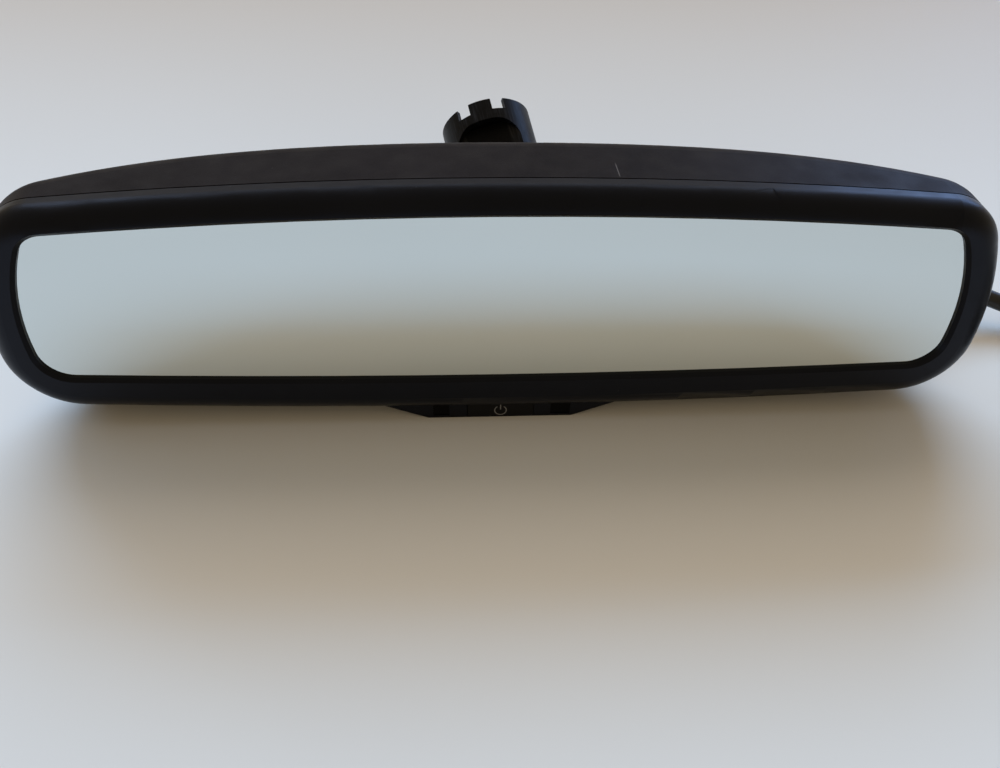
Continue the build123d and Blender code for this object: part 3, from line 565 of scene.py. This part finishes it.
# --- Boot, tie and connector ---
def make_boot(materials):
    """The tapered rubber strain relief, with a plain cuff against the plug and grooves along it."""
    low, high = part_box("harness_boot")
    start = Vector((low[0], (low[1] + high[1]) / 2, (low[2] + high[2]) / 2))
    length = high[0] - low[0]
    root, tip = 3.85 * MM, 3.0 * MM
    groove_depth = 0.55 * MM
    ribs = 5
    first, last = 2.0 * MM, length - 1.2 * MM
    groove_and_rib = ((0.08, groove_depth), (0.22, groove_depth), (0.36, 0.0), (0.94, 0.0))
    sections = [(0.0, root * 0.96), (0.25 * MM, root), (1.7 * MM, root)]
    for k in range(ribs):
        for part, drop in groove_and_rib:
            along = first + (last - first) * (k + part) / ribs
            sections.append((along, root + (tip - root) * along / length - drop))
    sections += [(length - 0.9 * MM, tip), (length - 0.2 * MM, tip), (length, tip * 0.93)]
    verts, faces = lathe(sections, start)
    boot = piece("harness_boot_ribbed", verts, faces, materials["boot_rubber"], "head")
    boot.data.polygons.foreach_set("use_smooth", [len(p.vertices) == 4 for p in boot.data.polygons])
    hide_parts("harness_boot")


def make_connector_parts(materials):
    """The far connector's contacts and its latch, and the tie's lock. Sizes are in millimetres."""
    length, height = CONNECTOR[1:]
    place = on_coil(CONNECTOR_ANGLE, CONNECTOR_FOOT)
    columns, pitch, side = 6, 2.5, 0.64
    pins = []
    for column in range(columns):
        for row in (-1.35, 1.35):
            x = (column - (columns - 1) / 2) * pitch
            pins.append(((x, -1.5, height / 2 + row), (side, 4.2, side), 0.6))
    verts, faces = blocks(pins, 0.06, place)
    contacts = piece("connector_contacts", verts, faces, materials["contact_tin"], "head",
                     flat=True)

    arm = ((0, 0.6, height + 0.55), (6.0, 8.0, 0.9), 0.85)
    catch = ((0, -2.6, height + 1.2), (5.0, 1.4, 0.7), 0.7)
    rails = [((x, 0, height + 0.35), (0.9, 10.0, 0.9), 1.0) for x in (-5.2, 5.2)]
    sleeve = ((0, length / 2 + 1.2, 2.6), (7.0, 2.6, 5.2), 1.0)
    verts, faces = blocks([arm, catch, sleeve] + rails, 0.18, place)
    latch = piece("connector_latch", verts, faces, materials["connector_plastic"], "head",
                  flat=True)

    low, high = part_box("cable_tie")
    lock = ((0, 0, 1.5), (5.4, 5.0, 3.4), 1.0)
    lip = ((0, 0, 3.35), (4.2, 3.8, 0.7), 1.0)
    tail = ((4.6, 0, 1.9), (5.2, 3.4, 0.8), 1.0)
    teeth = [((x * 0.7 + 3.3, 0, 2.36), (0.35, 2.4, 0.3), 1.0) for x in range(5)]
    verts, faces = blocks([lock, lip, tail] + teeth, 0.1, on_coil(TIE_ANGLE, high[2] / MM))
    tie_lock = piece("tie_lock", verts, faces, materials["tie_nylon"], "head", flat=True)
    return [contacts, latch, tie_lock]


# --- Cable ---
def coil_point(sweep):
    """The cable's middle, after sweep degrees clockwise round the coil."""
    outer = COIL_R + COIL_PITCH / 2
    inner = COIL_R - COIL_PITCH / 2
    lower, upper, top = COIL_FLOOR, COIL_FLOOR + 4.55, COIL_FLOOR + 9.7
    hump = upper + 0.75
    to_inner = smooth(sweep, 265, 345)
    to_middle = smooth(sweep, 650, 715)
    onto_hump = smooth(sweep, 600, 682)         # where the cable climbs over the turn below
    off_hump = smooth(sweep, 725, 790)
    onto_top = smooth(sweep, 955, 1040)
    radius = outer + (inner - outer) * to_inner + (COIL_R - inner) * to_middle
    height = lower + (hump - lower) * onto_hump + (upper - hump) * off_hump + (top - upper) * onto_top
    angle = math.radians(COIL_START - sweep)
    return (COIL_CENTRE[0] + radius * math.cos(angle), COIL_CENTRE[1] + radius * math.sin(angle), height)


def make_cable(materials, riders):
    """One spline from the boot, along the table, round the coil and into the connector."""
    connector_half = 8.0                        # degrees of the coil that the connector takes up
    last = COIL_TURNS * 360 + COIL_START - (CONNECTOR_ANGLE - 360) - connector_half
    step = 18.0
    count = round(last / step)
    points = CABLE_ROUTE + [coil_point(last * k / count) for k in range(1, count + 1)]
    curve = bpy.data.curves.new("harness_cable_round", "CURVE")
    curve.dimensions = "3D"
    spline = curve.splines.new("NURBS")
    spline.points.add(len(points) - 1)
    for control, point in zip(spline.points, points):
        control.co = (*(c * MM for c in point), 1.0)
    spline.order_u = 3
    spline.use_endpoint_u = True
    spline.resolution_u = 10
    curve.bevel_depth = CABLE_D / 2
    curve.bevel_resolution = 6
    curve.use_fill_caps = True
    curve.materials.append(materials["cable_jacket"])
    cable = add_object("harness_cable_round", curve)
    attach(cable, "head")
    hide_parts("harness_cable", "harness_coil")


# --- Floor and light ---
def make_floor():
    """A pale table top, warmer and darker behind the mirror."""
    s = Shader("table_top")
    cloud = s.noise(0.25, detail=3.0)
    fine = s.noise(0.8 * MM, detail=3.0)
    tone = s.mixed(s.ranged(cloud, 0.3, 0.7), (0.715, 0.700, 0.690), (0.745, 0.730, 0.722))
    tone = s.mixed(s.ranged(s.coordinate("Y"), 0.0, 0.22), tone, (0.500, 0.410, 0.335))
    s.set(Base_Color=tone, Roughness=s.ranged(fine, 0.3, 0.7, 0.50, 0.62),
          Normal=s.bump(fine, 0.01 * MM, 0.3), Specular_IOR_Level=0.3)
    bpy.ops.mesh.primitive_plane_add(size=6.0, location=(0, 0, 0))
    floor = bpy.context.object
    floor.name = "floor"
    floor.data.materials.append(s.material)


def panel(name, azimuth, elevation, distance, size, energy, color, seen):
    """A soft rectangular light, aimed at the mirror. Azimuth goes from straight behind to the right.

    Where seen is matt it gives light but no glints, and where it is gloss it gives glints only.
    """
    data = bpy.data.lights.new(name, "AREA")
    data.shape = "RECTANGLE"
    data.size, data.size_y = size
    data.energy = energy
    data.color = color
    light = add_object(name, data)
    azimuth = math.radians(azimuth)
    elevation = math.radians(elevation)
    level = math.cos(elevation)
    way = Vector((math.sin(azimuth) * level, math.cos(azimuth) * level, math.sin(elevation)))
    light.location = way * distance
    light.rotation_euler = (-way).to_track_quat("-Z", "Y").to_euler()
    light.visible_glossy = seen == "gloss"
    light.visible_diffuse = seen == "matt"


def make_lights():
    """Two wide windows behind, a nearer one to the left, warm light all round, and glinting panes."""
    world = bpy.data.worlds.new("room")
    bpy.context.scene.world = world
    world.use_nodes = True
    back = world.node_tree.nodes["Background"]
    back.inputs["Color"].default_value = (1.0, 0.81, 0.53, 1.0)
    back.inputs["Strength"].default_value = 0.35
    cool = (0.46, 0.70, 1.0)
    warm = (1.0, 0.82, 0.60)
    blue = (0.30, 0.52, 1.0)
    panel("window_low", -8, 38, 6.0, (6.0, 1.9), 445.0, cool, "matt")
    panel("window_high", -6, 57, 6.0, (5.5, 2.0), 90.0, warm, "matt")
    panel("side_window", -72, 40, 1.5, (1.0, 0.6), 4.5, cool, "matt")
    panel("pane_low_right", 44, 14, 2.0, (0.9, 0.5), 7.0, blue, "gloss")
    panel("pane_behind", 0, 31, 2.0, (2.6, 0.6), 5.0, (0.62, 0.76, 1.0), "gloss")
    panel("pane_left", -38, 36, 2.0, (0.5, 0.4), 1.8, (0.55, 0.72, 1.0), "gloss")
    panel("pane_right", 58, 34, 2.0, (0.3, 0.2), 0.5, blue, "gloss")


bpy.context.scene.view_settings.view_transform = "Standard"
make_camera()
materials = make_materials()
make_cable(materials, make_connector_parts(materials))
dress_frame(materials)
make_icon(materials)
make_boot(materials)
make_floor()
make_lights()
